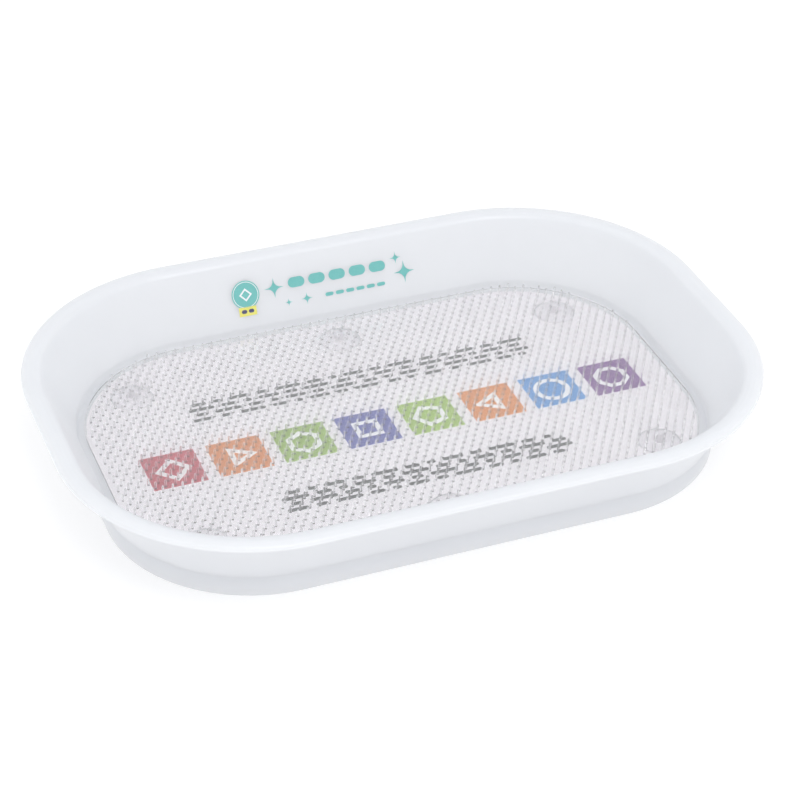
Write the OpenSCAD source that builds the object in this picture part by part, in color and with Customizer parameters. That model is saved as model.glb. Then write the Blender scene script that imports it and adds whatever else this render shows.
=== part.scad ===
// Counter tray with a printed message card under a clear pimpled mat.
// The frame is +X along the length, +Y to the back and +Z up. The origin is
// on the table, under the middle of the tray.

/* [Tray] */
// Length of the tray over its rim
tray_l = 230; // [216:2:250]
// Depth of the tray over its rim
tray_w = 160; // [150:2:180]
// Height of the rim's crown above the table
tray_h = 29.5; // [26:0.5:36]
// Radius of the rim's corners, seen from above
rim_r = 61.5; // [58:0.5:66]
// Width of the rim, from its outer edge to the inner wall
rim_w = 6.2; // [5:0.2:8]
// Thickness of the rim's lip
lip_t = 2.4; // [2:0.1:3]
// Thickness of the upright wall
wall_t = 1.8; // [1.4:0.1:2.2]
// How far the foot band stands in from the rim's outer edge
foot_inset = 14.1; // [12:0.1:15]
// Height of the upright foot band, where the wall starts to flare
foot_h = 7.2; // [6.5:0.1:9]
// Height of the floor's top face above the table
floor_z = 5; // [4:0.5:5.5]
// Thickness of the floor
floor_t = 2; // [1.6:0.1:2.5]

/* [Message card] */
// Thickness of the printed card
card_t = 0.3; // [0.2:0.05:0.5]
// Gap from the card's edge to the foot of the wall
card_gap = 3.2; // [2.6:0.1:6]

/* [Pimpled mat] */
// Height of the mat's underside above the floor
mat_lift = 1.2; // [1:0.1:2]
// Thickness of the mat's sheet
mat_t = 1; // [0.8:0.1:1.6]
// Height of the pins on the sheet
pin_h = 2.6; // [1:0.1:3]
// Gap from the mat's edge to the foot of the wall
mat_gap = 2.6; // [2:0.1:5]
// Plain border between the mat's edge and its field of pins
pin_border = 1; // [0.5:0.1:3]

/* [Suckers] */
// Diameter of a sucker's cup
cup_d = 13; // [11:0.5:16]
// Diameter of a sucker's neck
neck_d = 4.3; // [3:0.1:6]
// Distance from the mat's edge to the middle of each sucker
sucker_inset = 11.3; // [10:0.1:14]
// Gap around each cup in the card's holes
hole_gap = 0.6; // [0.4:0.1:1.2]

/* [Hidden] */
$fn = 96;
clear = 0.05;                       // air between loose pieces that lie on each other
arc_steps = 6;                      // straight steps in each rounded corner of the section
centre_x = tray_l / 2 - rim_r;      // middle of the corner that every outline shares
centre_y = tray_w / 2 - rim_r;
foot_r = rim_r - foot_inset;        // outer face of the foot band, from the corner's middle
inner_r = foot_r - wall_t;          // inner face of the foot band
mat_r = inner_r - mat_gap;
card_r = inner_r - card_gap;
mat_z = floor_z + mat_lift;
crown_r = rim_r - rim_w;            // where the rim turns down into the inner wall
crown_drop = 0.5;                   // fall of the rim from its crown to either edge
flare_z = foot_h + 1;               // height where the inner wall starts to flare
flare = (crown_r - inner_r) / (tray_h - crown_drop - flare_z);
lip_z = tray_h - lip_t;             // underside of the rim
sucker_r = mat_r - sucker_inset;    // suckers lie on this offset from the corner's middle
cup_t = 0.45;                       // wall of a cup

// Corner p between its neighbours, as an arc of radius r that touches both edges.
function unit(v) = v / norm(v);
function turned(a, p, b, r) =
    let (u = unit(a - p), v = unit(b - p), half = acos(u * v) / 2)
    let (c = p + unit(u + v) * r / sin(half))
    let (s = p + u * r / tan(half) - c, e = p + v * r / tan(half) - c)
    let (start = atan2(s.y, s.x), turn = atan2(s.x * e.y - s.y * e.x, s * e))
    [for (i = [0:arc_steps]) let (t = start + turn * i / arc_steps) c + r * [cos(t), sin(t)]];

// Outline with each corner [x, y, radius] rounded by its radius.
function flat(q) = [q[0], q[1]];
function rounded(pts) =
    let (n = len(pts))
    [for (i = [0:n - 1])
        each pts[i][2] == 0 ? [flat(pts[i])]
            : turned(flat(pts[(i + n - 1) % n]), flat(pts[i]), flat(pts[(i + 1) % n]), pts[i][2])];

// Half section of the tray from the corner's middle out to the lip: floor,
// foot band, flared wall and rim. Each corner is [out, up, radius].
tray_section = rounded([
    [0, floor_z - floor_t, 0],
    [inner_r, floor_z - floor_t, 0.6],
    [inner_r + 0.2, 0, 0.3],
    [foot_r, 0, 0.6],
    [foot_r, foot_h, 3],
    [foot_r + flare * (lip_z - foot_h), lip_z, 1.2],
    [rim_r, lip_z, 1],
    [rim_r, tray_h - crown_drop, 0.9],
    [rim_r - 0.4 * rim_w, tray_h, 3],
    [rim_r - 0.6 * rim_w, tray_h, 3],
    [crown_r, tray_h - crown_drop, 2.6],
    [inner_r, flare_z, 3],
    [inner_r, floor_z, 1.2],
    [0, floor_z, 0]]);

// A half section carried round the tray's rounded rectangle.
module carried_round(section) {
    for (q = [0:3]) {
        side_x = (q == 0 || q == 3) ? 1 : -1;
        side_y = (q < 2) ? 1 : -1;
        translate([side_x * centre_x, side_y * centre_y, 0])
            rotate(90 * q)
                rotate_extrude(angle = 90) polygon(section);
    }
    for (turn = [0, 180]) {
        rotate(turn)
            translate([centre_x, 0, 0]) straight_run(section, 2 * centre_y);
        rotate(turn + 90)
            translate([centre_y, 0, 0]) straight_run(section, 2 * centre_x);
    }
}

module straight_run(section, run) {
    rotate([90, 0, 0])
        linear_extrude(run, center = true) polygon(section);
}

// Flat sheet whose edge lies at offset r from the shared corner middles.
module sheet(r, z, t) {
    translate([0, 0, z])
        linear_extrude(t) {
            square([2 * (centre_x + r), 2 * centre_y], center = true);
            square([2 * centre_x, 2 * (centre_y + r)], center = true);
            for (x = [-1, 1], y = [-1, 1])
                translate([x * centre_x, y * centre_y]) circle(r);
        }
}

// Middle of a sucker: col is -1, 0 or 1 from left to right, and row is 1 at the back.
function sucker_at(col, row) =
    col == 0 ? [0, row * (centre_y + sucker_r)]
        : [col * (centre_x + sucker_r * cos(45)), row * (centre_y + sucker_r * sin(45))];

// One-piece moulding in milky polypropylene.
module tray_body() {
    color("#E4E9EC")
        union() {
            carried_round(tray_section);
            translate([-centre_x, -centre_y, floor_z - floor_t])
                cube([2 * centre_x, 2 * centre_y, floor_t]);
        }
}

// White printed card with a punched hole round each sucker.
module message_card() {
    color("#F4F2F5")
        difference() {
            sheet(card_r, floor_z + clear, card_t);
            for (col = [-1:1], row = [-1, 1])
                translate([each sucker_at(col, row), floor_z - 1])
                    cylinder(h = 3, d = cup_d + 2 * hole_gap);
        }
}

// Clear soft mat: its sheet, and its field of pins as one plain layer.
module nub_mat() {
    color("#E3DFE8", 0.6)
        union() {
            sheet(mat_r, mat_z, mat_t);
            sheet(mat_r - pin_border, mat_z + mat_t, pin_h);
        }
}

// Clear cup on a short neck that is welded to the mat's underside.
module sucker(col, row) {
    rise = mat_lift - clear;
    color("#D2D0D8", 0.7)
        translate([each sucker_at(col, row), floor_z + clear])
            rotate_extrude()
                polygon([
                    [0, rise],
                    [neck_d / 2, rise],
                    [neck_d / 2, rise - 0.2],
                    [cup_d / 2 - 0.5, cup_t],
                    [cup_d / 2, 0.15],
                    [cup_d / 2, 0],
                    [cup_d / 2 - 0.7, 0],
                    [neck_d / 2 - 0.5, rise - 0.2 - cup_t],
                    [0, rise - 0.2 - cup_t]]);
}

tray_body();
message_card();
nub_mat();
sucker(-1, 1);  // sucker_back_left
sucker(0, 1);  // sucker_back_middle
sucker(1, 1);  // sucker_back_right
sucker(-1, -1);  // sucker_front_left
sucker(0, -1);  // sucker_front_middle
sucker(1, -1);  // sucker_front_right
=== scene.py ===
"""A shallow counter tray with a printed card under a clear pimpled mat.

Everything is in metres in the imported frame: +X along the length, +Y to the
back, +Z up, with the table at z = 0. Each section makes one piece, or one
group of like pieces, in the order in which the tray is put together.
"""
from math import atan2, cos, hypot, pi, radians, sin

import bmesh
import bpy
from mathutils import Matrix, Quaternion, Vector


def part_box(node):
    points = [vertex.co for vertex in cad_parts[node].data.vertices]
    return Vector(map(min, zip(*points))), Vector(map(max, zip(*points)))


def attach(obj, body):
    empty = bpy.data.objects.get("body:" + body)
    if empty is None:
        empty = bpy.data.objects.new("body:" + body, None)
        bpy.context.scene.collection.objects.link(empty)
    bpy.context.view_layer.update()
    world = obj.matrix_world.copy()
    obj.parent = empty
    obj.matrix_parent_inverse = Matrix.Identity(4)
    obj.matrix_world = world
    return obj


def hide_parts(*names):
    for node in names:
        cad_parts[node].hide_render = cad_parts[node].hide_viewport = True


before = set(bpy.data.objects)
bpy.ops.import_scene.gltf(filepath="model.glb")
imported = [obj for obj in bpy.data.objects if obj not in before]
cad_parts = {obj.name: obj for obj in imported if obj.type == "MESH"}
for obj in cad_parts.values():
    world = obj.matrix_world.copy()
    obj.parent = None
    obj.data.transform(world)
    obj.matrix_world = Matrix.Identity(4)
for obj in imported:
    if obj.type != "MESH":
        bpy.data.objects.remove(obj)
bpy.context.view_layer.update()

# ---------------------------------------------------------------------------
# Tray body
# One injection moulding in milky polypropylene, about 2 mm thick: a floor
# raised on an upright foot band, a wall that flares from the band, and a rim
# turned out level so that the tray can be picked up by it.
# ---------------------------------------------------------------------------
MM = 0.001
tray_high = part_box("tray_body")[1]
rim_r = 61.5 * MM
rim_w = 6.2 * MM
rim_fall = 0.5 * MM
lip_t = 2.4 * MM
wall_t = 1.8 * MM
floor_t = 2 * MM
floor_z = 5 * MM
foot_h = 7.2 * MM
foot_r = rim_r - 14.1 * MM
inner_r = foot_r - wall_t
crown_r = rim_r - rim_w
flare_z = foot_h + 1 * MM
rim_z = tray_high.z
flare = (crown_r - inner_r) / (rim_z - rim_fall - flare_z)
corner_x = tray_high.x - rim_r
corner_y = tray_high.y - rim_r


def turned(before, corner, after, radius, steps=6):
    """Points of the arc that rounds off a corner between its two neighbours."""
    before, corner, after = Vector(before), Vector(corner), Vector(after)
    to_before = (before - corner).normalized()
    to_after = (after - corner).normalized()
    half = to_before.angle(to_after) / 2
    middle = corner + (to_before + to_after).normalized() * radius / sin(half)
    reach = radius * cos(half) / sin(half)
    start = corner + to_before * reach - middle
    end = corner + to_after * reach - middle
    first = atan2(start.y, start.x)
    turn = atan2(start.cross(end), start.dot(end))
    arc = [first + turn * step / steps for step in range(steps + 1)]
    return [middle + radius * Vector((cos(angle), sin(angle))) for angle in arc]


def rounded_section(corners):
    """Open outline through corners (out, up, radius), each rounded by its radius."""
    points = [Vector(corners[0][:2])]
    for before, corner, after in zip(corners, corners[1:], corners[2:]):
        points += turned(before[:2], corner[:2], after[:2], corner[2])
    return points + [Vector(corners[-1][:2])]


def carried_round(mesh, section, corner_steps=24, side_steps=6):
    """Carries a section of (out, up) points round the tray's rounded rectangle."""
    verts = [mesh.verts.new((corner_x + p.x, corner_y, p.y)) for p in section]
    edges = [mesh.edges.new(pair) for pair in zip(verts, verts[1:])]
    last = verts + edges
    corners = ((1, 1), (-1, 1), (-1, -1), (1, -1))
    runs = ((-2 * corner_x, 0, 0), (0, -2 * corner_y, 0), (2 * corner_x, 0, 0), (0, 2 * corner_y, 0))
    for (side_x, side_y), run in zip(corners, runs):
        centre = (side_x * corner_x, side_y * corner_y, 0)
        last = bmesh.ops.spin(mesh, geom=last, cent=centre, axis=(0, 0, 1),
                              angle=pi / 2, steps=corner_steps)["geom_last"]
        last = bmesh.ops.spin(mesh, geom=last, cent=centre, axis=(0, 0, 1), angle=0,
                              dvec=Vector(run) / side_steps, steps=side_steps)["geom_last"]
    bmesh.ops.remove_doubles(mesh, verts=mesh.verts, dist=0.001 * MM)


def close_holes(mesh):
    """Closes every open loop with one flat face and turns all faces outwards."""
    bmesh.ops.holes_fill(mesh, edges=[e for e in mesh.edges if e.is_boundary], sides=0)
    bmesh.ops.recalc_face_normals(mesh, faces=mesh.faces)


def finished(mesh, name, materials, body, nodes=()):
    """Makes the piece, shaded smooth up to a sharp edge, attaches it to its body and hides the CAD parts
    it replaces.
    """
    sharp = radians(55)
    data = bpy.data.meshes.new(name)
    for face in mesh.faces:
        face.smooth = True
    for edge in mesh.edges:
        edge.smooth = edge.calc_face_angle(0) < sharp
    mesh.to_mesh(data)
    mesh.free()
    for material in materials:
        data.materials.append(material)
    piece = bpy.data.objects.new(name, data)
    bpy.context.scene.collection.objects.link(piece)
    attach(piece, body)
    if nodes:
        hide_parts(*nodes)
    return piece


def linear(hex_colour):
    """An sRGB hex colour as linear RGBA."""
    parts = [int(hex_colour[i:i + 2], 16) / 255 for i in (1, 3, 5)]
    return tuple(c / 12.92 if c <= 0.04045 else ((c + 0.055) / 1.055) ** 2.4 for c in parts) + (1,)


def add(tree, kind, inputs, **settings):
    """Adds a shader node with its settings, and sets or links its inputs."""
    made = tree.nodes.new("ShaderNode" + kind)
    for name, value in settings.items():
        setattr(made, name, value)
    for name, value in inputs.items():
        if isinstance(value, bpy.types.NodeSocket):
            tree.links.new(value, made.inputs[name])
        else:
            made.inputs[name].default_value = value
    return made


def new_material(name):
    """An empty material, its node tree and its Object coordinates."""
    material = bpy.data.materials.new(name)
    material.use_nodes = True
    material.node_tree.nodes.clear()
    coords = add(material.node_tree, "TexCoord", {}).outputs["Object"]
    return material, material.node_tree, coords


# Natural polypropylene is milky: it lets some light through its 2 mm wall,
# has a faint cool cast that drifts a little over the moulding, and comes out
# of the mould with an even satin gloss.
milky_pp, tree, coords = new_material("milky_polypropylene")
cloud = add(tree, "TexNoise", {"Vector": coords, "Scale": 1 / (45 * MM), "Detail": 3})
milk = add(tree, "MixRGB", {"Fac": cloud.outputs["Fac"], "Color1": linear("#CACCD1"),
                            "Color2": linear("#CFD1D6")})
shader = add(tree, "BsdfPrincipled", {
    "Base Color": milk.outputs["Color"], "Roughness": 0.3, "IOR": 1.49,
    "Subsurface Weight": 1.0, "Subsurface Radius": (1.0, 1.0, 1.0), "Subsurface Scale": 14 * MM})
add(tree, "OutputMaterial", {"Surface": shader.outputs["BSDF"]})

mesh = bmesh.new()
carried_round(mesh, rounded_section([
    (inner_r - 3 * MM, floor_z - floor_t, 0),
    (inner_r, floor_z - floor_t, 0.6 * MM),
    (inner_r + 0.2 * MM, 0, 0.3 * MM),
    (foot_r, 0, 0.6 * MM),
    (foot_r, foot_h, 3 * MM),
    (foot_r + flare * (rim_z - lip_t - foot_h), rim_z - lip_t, 1.2 * MM),
    (rim_r, rim_z - lip_t, 1 * MM),
    (rim_r, rim_z - rim_fall, 0.9 * MM),
    (rim_r - 0.4 * rim_w, rim_z, 3 * MM),
    (rim_r - 0.6 * rim_w, rim_z, 3 * MM),
    (crown_r, rim_z - rim_fall, 2.6 * MM),
    (inner_r, flare_z, 3 * MM),
    (inner_r, floor_z, 1.2 * MM),
    (inner_r - 3 * MM, floor_z, 0)]))
close_holes(mesh)
finished(mesh, "tray_moulding", [milky_pp], "tray", ["tray_body"])

# ---------------------------------------------------------------------------
# Print on the back wall
# Pad-printed ink on the flat stretch of the inner back wall: a round badge
# with a small tag under it, four-pointed sparkles, and two rows of plain
# dashes. Each colour is one thin layer of ink on the moulding or on another.
# ---------------------------------------------------------------------------
ink_t = 0.03 * MM
wall_tilt = atan2(1, flare)
wall_foot = (0, corner_y + inner_r, flare_z)
on_wall = Matrix.Translation(wall_foot) @ Matrix.Rotation(wall_tilt, 4, "X")


def printing_ink(name, hex_colour):
    """Flat solvent ink: matt, nearly even, with a faint mottle where it lies thin."""
    material, tree, coords = new_material(name)
    mottle = add(tree, "TexNoise", {"Vector": coords, "Scale": 1 / (0.7 * MM), "Detail": 2})
    thin = add(tree, "MapRange", {"Value": mottle.outputs["Fac"], "To Min": 0.0, "To Max": 0.1})
    colour = add(tree, "MixRGB", {"Fac": thin.outputs["Result"], "Color1": linear(hex_colour),
                                  "Color2": linear("#F2F2F4")})
    shader = add(tree, "BsdfPrincipled", {"Base Color": colour.outputs["Color"],
                                          "Roughness": 0.45, "IOR": 1.5})
    add(tree, "OutputMaterial", {"Surface": shader.outputs["BSDF"]})
    return material


def disc(mesh, x, y, radius, sides=48, turn=0):
    """A flat regular polygon, or a disc where it has many sides."""
    place = Matrix.Translation((x, y, 0)) @ Matrix.Rotation(turn, 4, "Z")
    made = bmesh.ops.create_circle(mesh, cap_ends=True, segments=sides, radius=radius, matrix=place)
    return made["verts"]


def ring(mesh, x, y, radius, width, sides=48, turn=0):
    """A flat ring, or the outline of a regular polygon."""
    verts = disc(mesh, x, y, radius, sides, turn)
    face = verts[0].link_faces[0]
    bmesh.ops.inset_region(mesh, faces=[face], thickness=width, use_even_offset=True, use_boundary=True)
    bmesh.ops.delete(mesh, geom=[face], context="FACES")


def dash(mesh, x, y, length, height):
    """A flat bar with round ends, centred on (x, y)."""
    verts = disc(mesh, x, y, height / 2, 20, pi / 20)
    for side in (-1, 1):
        half = [v for v in verts if (v.co.x - x) * side > 0]
        bmesh.ops.translate(mesh, verts=half, vec=(side * (length - height) / 2, 0, 0))


def block(mesh, x, y, length, height):
    """A flat rectangle, centred on (x, y)."""
    for vert in disc(mesh, 0, 0, 0.5 ** 0.5, 4, pi / 4):
        vert.co = (x + vert.co.x * length, y + vert.co.y * height, 0)


def sparkle(mesh, x, y, reach):
    """A four-pointed star with sides that curve in; a lower hollow makes it thinner."""
    hollow = 0.5
    for vert in disc(mesh, x, y, reach):
        angle = atan2(vert.co.y - y, vert.co.x - x)
        inward = (abs(cos(angle)) ** hollow + abs(sin(angle)) ** hollow) ** (-1 / hollow)
        vert.co.x = x + (vert.co.x - x) * inward
        vert.co.y = y + (vert.co.y - y) * inward


def printed(mesh, name, materials, place, body, layer=0):
    """Gives flat shapes the ink's thickness and lays them on a surface of the object."""
    flat = list(mesh.faces)
    top = bmesh.ops.extrude_face_region(mesh, geom=flat, use_keep_orig=True)["geom"]
    raised = [v for v in top if isinstance(v, bmesh.types.BMVert)]
    bmesh.ops.translate(mesh, verts=raised, vec=(0, 0, ink_t))
    bmesh.ops.transform(mesh, matrix=place @ Matrix.Translation((0, 0, layer * ink_t)), verts=mesh.verts)
    bmesh.ops.recalc_face_normals(mesh, faces=mesh.faces)
    return finished(mesh, name, materials, body)


teal_ink = printing_ink("teal_ink", "#6FC3BE")
yellow_ink = printing_ink("yellow_ink", "#F1EA70")
white_ink = printing_ink("white_ink", "#FAFAFB")
navy_ink = printing_ink("navy_ink", "#3E3F6C")

badge_x = -27.4 * MM
badge_y = 11.4 * MM
tag_y = 5.7 * MM
sparkles = ((-17.1, 11.9, 3.5), (-12.6, 6.1, 1.4), (-6, 6.3, 2.1),
            (27.6, 14.4, 2.1), (30.2, 9.1, 3.9))
mesh = bmesh.new()
disc(mesh, badge_x, badge_y, 4.9 * MM, 64)
for x, y, reach in sparkles:
    sparkle(mesh, x * MM, y * MM, reach * MM)
for index in range(5):
    dash(mesh, (-9 + 7.4 * index) * MM, 12.6 * MM, 6 * MM, 3.6 * MM)
for index in range(6):
    dash(mesh, (2.2 + 3.8 * index) * MM, 6.3 * MM, 3 * MM, 1.3 * MM)
printed(mesh, "wall_print_teal", [teal_ink], on_wall, "tray")

mesh = bmesh.new()
ring(mesh, badge_x, badge_y, 4.5 * MM, 0.22 * MM)
ring(mesh, badge_x, badge_y, 2.3 * MM, 0.55 * MM, 4)
printed(mesh, "wall_print_white", [white_ink], on_wall, "tray", 1)

mesh = bmesh.new()
block(mesh, badge_x, tag_y, 6.2 * MM, 3.1 * MM)
printed(mesh, "wall_print_tag", [yellow_ink], on_wall, "tray", 1)

mesh = bmesh.new()
for side in (-1, 1):
    dash(mesh, badge_x + side * 1.25 * MM, tag_y, 1.9 * MM, 1.3 * MM)
printed(mesh, "wall_print_tag_dashes", [navy_ink], on_wall, "tray", 2)

# ---------------------------------------------------------------------------
# Message card
# Thin white coated card cut to the floor's outline, with a punched hole
# over each sucker. It keeps its CAD shape and only gets its finish.
# ---------------------------------------------------------------------------
# Coated card is smooth and almost white, with a fine fibre mottle of 0.4 mm.
coated_card, tree, coords = new_material("coated_white_card")
fibre = add(tree, "TexNoise", {"Vector": coords, "Scale": 1 / (0.4 * MM), "Detail": 4})
paper = add(tree, "MixRGB", {"Fac": fibre.outputs["Fac"], "Color1": linear("#F2EEF2"),
                             "Color2": linear("#F6F2F6")})
tooth = add(tree, "Bump", {"Height": fibre.outputs["Fac"], "Strength": 0.15, "Distance": 0.03 * MM})
shader = add(tree, "BsdfPrincipled", {"Base Color": paper.outputs["Color"], "Roughness": 0.6,
                                      "IOR": 1.5, "Normal": tooth.outputs["Normal"]})
add(tree, "OutputMaterial", {"Surface": shader.outputs["BSDF"]})
card_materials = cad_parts["message_card"].data.materials
card_materials.clear()
card_materials.append(coated_card)

# ---------------------------------------------------------------------------
# Print on the card
# Eight coloured tiles in one row, each with a plain white outline shape on
# it. Above and below them is a band of four rows of nearly black dashes.
# ---------------------------------------------------------------------------
on_card = Matrix.Translation((0, 0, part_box("message_card")[1].z))
tile_pitch = 21.7 * MM
tile_size = 17.6 * MM
tile_x = 1.3 * MM
tile_y = -2.2 * MM
tile_colours = ("#B8163A", "#D67C20", "#8BAE3A", "#4347A2",
                "#99BC42", "#DC8420", "#3A8CD0", "#722F8A")
# Sides and turn of the outline shape on each tile.
tile_shapes = ((4, 0), (3, 30), (6, 0), (4, 45), (5, 90), (3, -30), (32, 0), (8, 22.5))

mesh = bmesh.new()
for index in range(len(tile_colours)):
    x = tile_x + (index - 3.5) * tile_pitch
    block(mesh, x, tile_y, tile_size, tile_size)
    for face in mesh.faces:
        if abs(face.calc_center_median().x - x) < tile_size / 2:
            face.material_index = index
tile_inks = [printing_ink(f"tile_ink_{i + 1}", colour) for i, colour in enumerate(tile_colours)]
printed(mesh, "card_tiles", tile_inks, on_card, "card")

mesh = bmesh.new()
for index, (sides, turn) in enumerate(tile_shapes):
    x = tile_x + (index - 3.5) * tile_pitch
    ring(mesh, x, tile_y, 6.2 * MM, 1.8 * MM, sides, radians(turn))
printed(mesh, "card_tile_shapes", [white_ink], on_card, "card", 1)

grey_ink = printing_ink("dark_grey_ink", "#101014")
bands = ((-61.2, 60.5, 25.2), (-48, 51, -30.5))
dash_lengths = (7, 4, 9, 5, 3)
row_gap = 2.9
dash_gap = 2.4
mesh = bmesh.new()
for start, end, middle in bands:
    for row in range(4):
        x = start + 2 * (row % 2)
        y = middle + row_gap * (row - 1.5)
        count = row
        while x < end - 5:
            length = dash_lengths[count % 5]
            dash(mesh, (x + length / 2) * MM, y * MM, length * MM, 1.6 * MM)
            x += length + dash_gap
            count += 1
printed(mesh, "card_lines", [grey_ink], on_card, "card")

# ---------------------------------------------------------------------------
# Suckers
# Six small cups in soft vinyl, welded by a short neck to the mat's
# underside. They go through the card's holes and stick to the tray's floor.
# Their vinyl is painted pale and nearly opaque: painted light over the shade in the card's holes.
# ---------------------------------------------------------------------------
cup_wall = 0.45 * MM
neck_r = 2.15 * MM
neck_top = 0.2 * MM
weld_depth = 0.15 * MM

# The suckers' vinyl is painted pale, paler than the card, and lets little
# light through. This is painted light: it hides the shade that lies in each
# card hole round a cup, so a cup shows only as a faint smudge under the mat.
# Its gloss is soft.
painted_pale_vinyl, tree, coords = new_material("painted_pale_sucker_vinyl")
haze = add(tree, "TexNoise", {"Vector": coords, "Scale": 1 / (1.5 * MM), "Detail": 2})
dull = add(tree, "MapRange", {"Value": haze.outputs["Fac"], "To Min": 0.15, "To Max": 0.3})
shader = add(tree, "BsdfPrincipled", {
    # Painted light: a base colour paler than the card, over the shade in the card's hole.
    "Base Color": linear("#FCF8FD"), "Roughness": dull.outputs["Result"],
    "IOR": 1.35, "Transmission Weight": 0.1})
through = add(tree, "BsdfTransparent", {"Color": linear("#F4F3F6")})
clear = add(tree, "MixShader", {0: 0.95, 1: through.outputs["BSDF"], 2: shader.outputs["BSDF"]})
add(tree, "OutputMaterial", {"Surface": clear.outputs["Shader"]})

for row in ("back", "front"):
    for column in ("left", "middle", "right"):
        node = f"sucker_{row}_{column}"
        low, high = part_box(node)
        centre = (low + high) / 2
        cup_r = (high.x - low.x) / 2
        rise = high.z - low.z
        shoulder = rise - neck_top
        weld = rise + weld_depth
        profile = ((0, weld), (neck_r, weld), (neck_r, shoulder), (cup_r - 0.5 * MM, cup_wall),
                   (cup_r, 0.15 * MM), (cup_r, 0), (cup_r - 0.7 * MM, 0),
                   (neck_r - 0.5 * MM, shoulder - cup_wall), (0, shoulder - cup_wall))
        mesh = bmesh.new()
        verts = [mesh.verts.new((centre.x + out, centre.y, low.z + up)) for out, up in profile]
        edges = [mesh.edges.new(pair) for pair in zip(verts, verts[1:])]
        bmesh.ops.spin(mesh, geom=verts + edges, cent=centre, axis=(0, 0, 1), angle=2 * pi,
                       steps=48, use_merge=True)
        bmesh.ops.remove_doubles(mesh, verts=mesh.verts, dist=0.001 * MM)
        bmesh.ops.recalc_face_normals(mesh, faces=mesh.faces)
        finished(mesh, f"{node}_cup", [painted_pale_vinyl], "mat", [node])

# ---------------------------------------------------------------------------
# Pimpled mat
# One moulding in clear soft vinyl: a 1 mm sheet with a staggered field of
# small tapered pins, which hold coins up so that fingers can get under them.
# ---------------------------------------------------------------------------
mat_low, mat_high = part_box("nub_mat")
mat_r = mat_high.x - corner_x
sheet_top = mat_low.z + 1 * MM
pin_h = mat_high.z - sheet_top
pin_step = 3.2 * MM
row_step = 2.575 * MM
edge_round = 0.25 * MM
pin_border = 1 * MM
# Radius of a pin at each height, from the sheet up.
pin_rings = ((0.42 * MM, 0), (0.36 * MM, 0.85 * pin_h), (0.2 * MM, pin_h))


def offset(x, y):
    """How far a point lies outside the rectangle of the corner centres."""
    return hypot(max(abs(x) - corner_x, 0), max(abs(y) - corner_y, 0))


# The sheet's top is a brick pattern with one pin in the middle of each brick.
# A grid of quarter bricks becomes whole bricks once the vertices at the
# bricks' middles are dissolved, with every other row half a brick along.
half_x = pin_step / 2
half_y = row_step / 2
columns = int(mat_high.x / half_x) + 2
rows = int(mat_high.y / half_y) + 2
mesh = bmesh.new()
bmesh.ops.create_grid(mesh, x_segments=2 * columns, y_segments=2 * rows, size=1,
                      matrix=Matrix.Translation((0, 0, sheet_top))
                      @ Matrix.Diagonal((columns * half_x, rows * half_y, 1, 1)))
middles = []
for vert in mesh.verts:
    column = round(vert.co.x / half_x)
    row = round(vert.co.y / half_y)
    if row % 2 == 1 and (column + row // 2) % 2 == 1:
        middles.append(vert)
bmesh.ops.dissolve_verts(mesh, verts=middles)
outside = []
for face in mesh.faces:
    middle = face.calc_center_bounds()
    if len(face.verts) < 8 or offset(middle.x, middle.y) > mat_r - pin_border - pin_rings[0][0]:
        outside.append(face)
bmesh.ops.delete(mesh, geom=outside, context="FACES")
bricks = list(mesh.faces)

# The inset only cuts each brick into a ring and an octagon, which is then
# moved on to the pin's circle and drawn up.
bmesh.ops.inset_individual(mesh, faces=bricks, thickness=0.3 * MM, use_even_offset=True)
for level, (radius, height) in enumerate(pin_rings):
    if level:
        made = bmesh.ops.extrude_discrete_faces(mesh, faces=bricks)
        bricks = made["faces"]
    for face in bricks:
        middle = face.calc_center_bounds()
        for vert in face.verts:
            across_x = (vert.co.x - middle.x) / half_x
            across_y = (vert.co.y - middle.y) / half_y
            spoke = round(atan2(across_y, across_x) / (pi / 4)) * pi / 4
            vert.co.x = middle.x + radius * cos(spoke)
            vert.co.y = middle.y + radius * sin(spoke)
            vert.co.z = sheet_top + height

# The field's ragged outline is drawn in to the sheet, and joined to its edge.
field_r = mat_r - pin_border / 2
for vert in mesh.verts:
    if offset(vert.co.x, vert.co.y) > field_r:
        inner_x = max(-corner_x, min(corner_x, vert.co.x))
        inner_y = max(-corner_y, min(corner_y, vert.co.y))
        inner = Vector((inner_x, inner_y, sheet_top))
        vert.co = inner + (vert.co - inner).normalized() * field_r
carried_round(mesh, rounded_section([
    (mat_r - 1.2 * edge_round, sheet_top, 0),
    (mat_r, sheet_top, edge_round),
    (mat_r, mat_low.z, edge_round),
    (mat_r - 1.2 * edge_round, mat_low.z, 0)]))
top_edge = [e for e in mesh.edges if e.is_boundary and e.verts[0].co.z > sheet_top - 0.01 * MM]
bmesh.ops.triangle_fill(mesh, edges=top_edge, use_beauty=True, normal=(0, 0, 1))
close_holes(mesh)

# Clear plasticised vinyl: glossy, a little milky in the thickness, and not
# quite even. Its IOR is set below the 1.53 of real vinyl, because each pin
# then shows a short dark dash and a faint body instead of a broad outline.
clear_vinyl, tree, coords = new_material("clear_vinyl_mat")
wave = add(tree, "TexNoise", {"Vector": coords, "Scale": 1 / (6 * MM), "Detail": 2})
ease = add(tree, "MapRange", {"Value": wave.outputs["Fac"], "To Min": 0.04, "To Max": 0.1})
shader = add(tree, "BsdfPrincipled", {
    "Base Color": linear("#FCFCFC"), "Roughness": ease.outputs["Result"],
    "IOR": 1.3, "Transmission Weight": 0.9})
add(tree, "OutputMaterial", {"Surface": shader.outputs["BSDF"]})
finished(mesh, "pimpled_mat", [clear_vinyl], "mat", ["nub_mat"])

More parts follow.
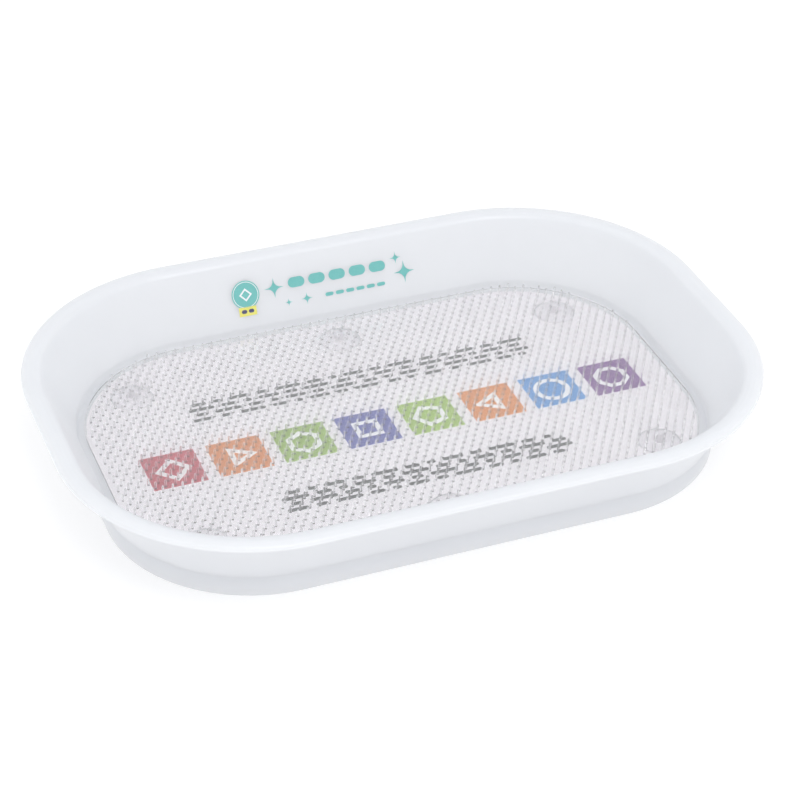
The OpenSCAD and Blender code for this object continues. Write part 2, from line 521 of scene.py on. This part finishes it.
# ---------------------------------------------------------------------------
# Studio
# A plain pale table that glows a little, so that no dark shadow lies on it, a
# white room that is brighter above, and two soft boxes over the tray: one
# towards the back, and a stronger one towards the front.
# ---------------------------------------------------------------------------
white_table, tree, coords = new_material("pale_table")
grain = add(tree, "TexNoise", {"Vector": coords, "Scale": 1 / (30 * MM), "Detail": 2})
pale = add(tree, "MixRGB", {"Fac": grain.outputs["Fac"], "Color1": linear("#B0B0B1"),
                            "Color2": linear("#B2B2B3")})
shader = add(tree, "BsdfPrincipled", {"Base Color": pale.outputs["Color"], "Roughness": 0.8,
                                      "Emission Color": (1, 1, 1, 1), "Emission Strength": 0.62})
add(tree, "OutputMaterial", {"Surface": shader.outputs["BSDF"]})
mesh = bmesh.new()
bmesh.ops.create_circle(mesh, cap_ends=True, segments=96, radius=6)
table_data = bpy.data.meshes.new("table")
mesh.to_mesh(table_data)
mesh.free()
table_data.materials.append(white_table)
table = bpy.data.objects.new("table", table_data)
bpy.context.scene.collection.objects.link(table)

room = bpy.data.worlds.new("white_room")
room.use_nodes = True
tree = room.node_tree
tree.nodes.clear()
sky = add(tree, "TexCoord", {}).outputs["Generated"]
way = add(tree, "VectorMath", {0: sky, 1: (0, -0.3, 0.954)}, operation="DOT_PRODUCT")
fall = add(tree, "MapRange", {"Value": way.outputs["Value"], "From Min": -1, "From Max": 1,
                              "To Min": 0.48, "To Max": 0.95})
light = add(tree, "Background", {"Color": linear("#FBFDFF"), "Strength": fall.outputs["Result"]})
add(tree, "OutputWorld", {"Surface": light.outputs["Background"]})
bpy.context.scene.world = room
bpy.context.scene.view_settings.view_transform = "Standard"
bpy.context.scene.cycles.blur_glossy = 0
bpy.context.scene.cycles.max_bounces = 24
bpy.context.scene.cycles.transmission_bounces = 24


def soft_box(name, place, aim, width, height, power):
    """A rectangular area light that faces a point."""
    light = bpy.data.lights.new(name, "AREA")
    light.shape = "RECTANGLE"
    light.size = width
    light.size_y = height
    light.energy = power
    lamp = bpy.data.objects.new(name, light)
    lamp.location = place
    lamp.rotation_mode = "QUATERNION"
    lamp.rotation_quaternion = (Vector(aim) - Vector(place)).to_track_quat("-Z", "Y")
    bpy.context.scene.collection.objects.link(lamp)


soft_box("overhead_box", (-0.5, 0.4, 1.3), (0, 0, 0), 1.0, 0.8, 1)
soft_box("front_box", (0.1, -0.7, 1.3), (0, 0, 0), 0.8, 0.6, 5.6)

# The camera looks down on the tray from the front left, through a long lens.
aim = Vector((4.4, 5.1, 8.9)) * MM
distance = 0.762
azimuth = radians(-21.74)
elevation = radians(34.66)
roll = radians(0.91)
towards = Vector((sin(azimuth) * cos(elevation), -cos(azimuth) * cos(elevation), sin(elevation)))
lens = bpy.data.cameras.new("camera")
lens.lens = 105.15
lens.sensor_width = 36
camera = bpy.data.objects.new("camera", lens)
camera.location = aim + towards * distance
camera.rotation_mode = "QUATERNION"
camera.rotation_quaternion = (-towards).to_track_quat("-Z", "Y") @ Quaternion((0, 0, 1), roll)
bpy.context.scene.collection.objects.link(camera)
bpy.context.scene.camera = camera
